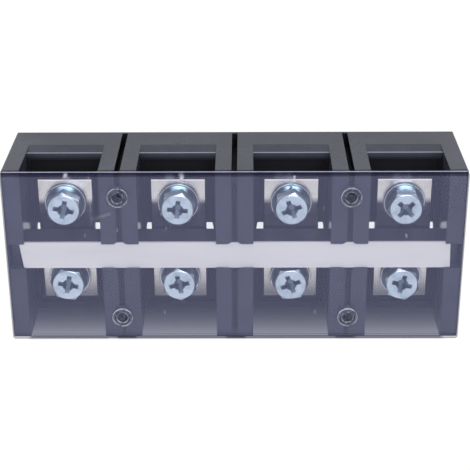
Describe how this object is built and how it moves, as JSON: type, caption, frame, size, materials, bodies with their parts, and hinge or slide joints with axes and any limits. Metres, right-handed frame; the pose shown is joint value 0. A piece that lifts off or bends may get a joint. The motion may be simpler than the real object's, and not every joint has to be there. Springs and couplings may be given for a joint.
{
  "type": "barrier terminal strip",
  "caption": "Rectangular power barrier terminal strip: open cells with a plated bar and hex-head clamping screws in each, a white marking strip and a clear pinned cover.",
  "frame": {"origin": "centre of the mounting face, under the middle of the strip", "axes": "+X along the row of poles, +Y across the wire entries, +Z from the mounting face to the cover"},
  "size_m": [0.1846, 0.0742, 0.0471],
  "materials": {
    "housing_plastic": "black moulded thermoset with a satin sheen",
    "plated_bar": "tin-plated and lightly brushed",
    "zinc_plated_steel": "bright blue-white zinc plate",
    "strip_plastic": "white, smooth and matte",
    "cover_plastic": "clear and faintly smoked",
    "pin_plastic": "clear"
  },
  "bodies": {
    "base": {"base_housing": "housing_plastic", "terminal_bar_1": "plated_bar", "terminal_bar_2": "plated_bar", "terminal_bar_3": "plated_bar", "terminal_bar_4": "plated_bar", "hex_nut_1a": "zinc_plated_steel", "hex_nut_1b": "zinc_plated_steel", "hex_nut_2a": "zinc_plated_steel", "hex_nut_2b": "zinc_plated_steel", "hex_nut_3a": "zinc_plated_steel", "hex_nut_3b": "zinc_plated_steel", "hex_nut_4a": "zinc_plated_steel", "hex_nut_4b": "zinc_plated_steel", "marking_strip": "strip_plastic"},
    "cover": {"clear_cover": "cover_plastic"},
    "pin_1": {"cover_pin_1": "pin_plastic"},
    "pin_2": {"cover_pin_2": "pin_plastic"},
    "pin_3": {"cover_pin_3": "pin_plastic"},
    "pin_4": {"cover_pin_4": "pin_plastic"},
    "washers_1a": {"flat_washer_1a": "zinc_plated_steel", "spring_washer_1a": "zinc_plated_steel"},
    "screw_1a": {"terminal_screw_1a": "zinc_plated_steel"},
    "washers_1b": {"flat_washer_1b": "zinc_plated_steel", "spring_washer_1b": "zinc_plated_steel"},
    "screw_1b": {"terminal_screw_1b": "zinc_plated_steel"},
    "washers_2a": {"flat_washer_2a": "zinc_plated_steel", "spring_washer_2a": "zinc_plated_steel"},
    "screw_2a": {"terminal_screw_2a": "zinc_plated_steel"},
    "washers_2b": {"flat_washer_2b": "zinc_plated_steel", "spring_washer_2b": "zinc_plated_steel"},
    "screw_2b": {"terminal_screw_2b": "zinc_plated_steel"},
    "washers_3a": {"flat_washer_3a": "zinc_plated_steel", "spring_washer_3a": "zinc_plated_steel"},
    "screw_3a": {"terminal_screw_3a": "zinc_plated_steel"},
    "washers_3b": {"flat_washer_3b": "zinc_plated_steel", "spring_washer_3b": "zinc_plated_steel"},
    "screw_3b": {"terminal_screw_3b": "zinc_plated_steel"},
    "washers_4a": {"flat_washer_4a": "zinc_plated_steel", "spring_washer_4a": "zinc_plated_steel"},
    "screw_4a": {"terminal_screw_4a": "zinc_plated_steel"},
    "washers_4b": {"flat_washer_4b": "zinc_plated_steel", "spring_washer_4b": "zinc_plated_steel"},
    "screw_4b": {"terminal_screw_4b": "zinc_plated_steel"}
  },
  "joints": [
    {"name": "cover_lift", "type": "slide", "parent": "base", "child": "cover", "axis": [0, 0, 1], "range_m": [0, 0.025]},
    {"name": "pin_1_pull", "type": "slide", "parent": "cover", "child": "pin_1", "axis": [0, 0, 1], "range_m": [0, 0.012]},
    {"name": "pin_2_pull", "type": "slide", "parent": "cover", "child": "pin_2", "axis": [0, 0, 1], "range_m": [0, 0.012]},
    {"name": "pin_3_pull", "type": "slide", "parent": "cover", "child": "pin_3", "axis": [0, 0, 1], "range_m": [0, 0.012]},
    {"name": "pin_4_pull", "type": "slide", "parent": "cover", "child": "pin_4", "axis": [0, 0, 1], "range_m": [0, 0.012]},
    {"name": "screw_1a_lift", "type": "slide", "parent": "base", "child": "washers_1a", "axis": [0, 0, 1], "range_m": [0, 0.0065]},
    {"name": "screw_1a_turn", "type": "hinge", "parent": "washers_1a", "child": "screw_1a", "pos_m": [-0.06945, 0.017, 0], "axis": [0, 0, 1], "range_deg": [0, 1870]},
    {"name": "screw_1b_lift", "type": "slide", "parent": "base", "child": "washers_1b", "axis": [0, 0, 1], "range_m": [0, 0.0065]},
    {"name": "screw_1b_turn", "type": "hinge", "parent": "washers_1b", "child": "screw_1b", "pos_m": [-0.06945, -0.017, 0], "axis": [0, 0, 1], "range_deg": [0, 1870]},
    {"name": "screw_2a_lift", "type": "slide", "parent": "base", "child": "washers_2a", "axis": [0, 0, 1], "range_m": [0, 0.0065]},
    {"name": "screw_2a_turn", "type": "hinge", "parent": "washers_2a", "child": "screw_2a", "pos_m": [-0.02315, 0.017, 0], "axis": [0, 0, 1], "range_deg": [0, 1870]},
    {"name": "screw_2b_lift", "type": "slide", "parent": "base", "child": "washers_2b", "axis": [0, 0, 1], "range_m": [0, 0.0065]},
    {"name": "screw_2b_turn", "type": "hinge", "parent": "washers_2b", "child": "screw_2b", "pos_m": [-0.02315, -0.017, 0], "axis": [0, 0, 1], "range_deg": [0, 1870]},
    {"name": "screw_3a_lift", "type": "slide", "parent": "base", "child": "washers_3a", "axis": [0, 0, 1], "range_m": [0, 0.0065]},
    {"name": "screw_3a_turn", "type": "hinge", "parent": "washers_3a", "child": "screw_3a", "pos_m": [0.02315, 0.017, 0], "axis": [0, 0, 1], "range_deg": [0, 1870]},
    {"name": "screw_3b_lift", "type": "slide", "parent": "base", "child": "washers_3b", "axis": [0, 0, 1], "range_m": [0, 0.0065]},
    {"name": "screw_3b_turn", "type": "hinge", "parent": "washers_3b", "child": "screw_3b", "pos_m": [0.02315, -0.017, 0], "axis": [0, 0, 1], "range_deg": [0, 1870]},
    {"name": "screw_4a_lift", "type": "slide", "parent": "base", "child": "washers_4a", "axis": [0, 0, 1], "range_m": [0, 0.0065]},
    {"name": "screw_4a_turn", "type": "hinge", "parent": "washers_4a", "child": "screw_4a", "pos_m": [0.06945, 0.017, 0], "axis": [0, 0, 1], "range_deg": [0, 1870]},
    {"name": "screw_4b_lift", "type": "slide", "parent": "base", "child": "washers_4b", "axis": [0, 0, 1], "range_m": [0, 0.0065]},
    {"name": "screw_4b_turn", "type": "hinge", "parent": "washers_4b", "child": "screw_4b", "pos_m": [0.06945, -0.017, 0], "axis": [0, 0, 1], "range_deg": [0, 1870]}
  ],
  "couplings": [
    {"joint": "screw_1a_lift", "follows": "screw_1a_turn", "m_per_rad": 0.00019894},
    {"joint": "screw_1b_lift", "follows": "screw_1b_turn", "m_per_rad": 0.00019894},
    {"joint": "screw_2a_lift", "follows": "screw_2a_turn", "m_per_rad": 0.00019894},
    {"joint": "screw_2b_lift", "follows": "screw_2b_turn", "m_per_rad": 0.00019894},
    {"joint": "screw_3a_lift", "follows": "screw_3a_turn", "m_per_rad": 0.00019894},
    {"joint": "screw_3b_lift", "follows": "screw_3b_turn", "m_per_rad": 0.00019894},
    {"joint": "screw_4a_lift", "follows": "screw_4a_turn", "m_per_rad": 0.00019894},
    {"joint": "screw_4b_lift", "follows": "screw_4b_turn", "m_per_rad": 0.00019894}
  ]
}
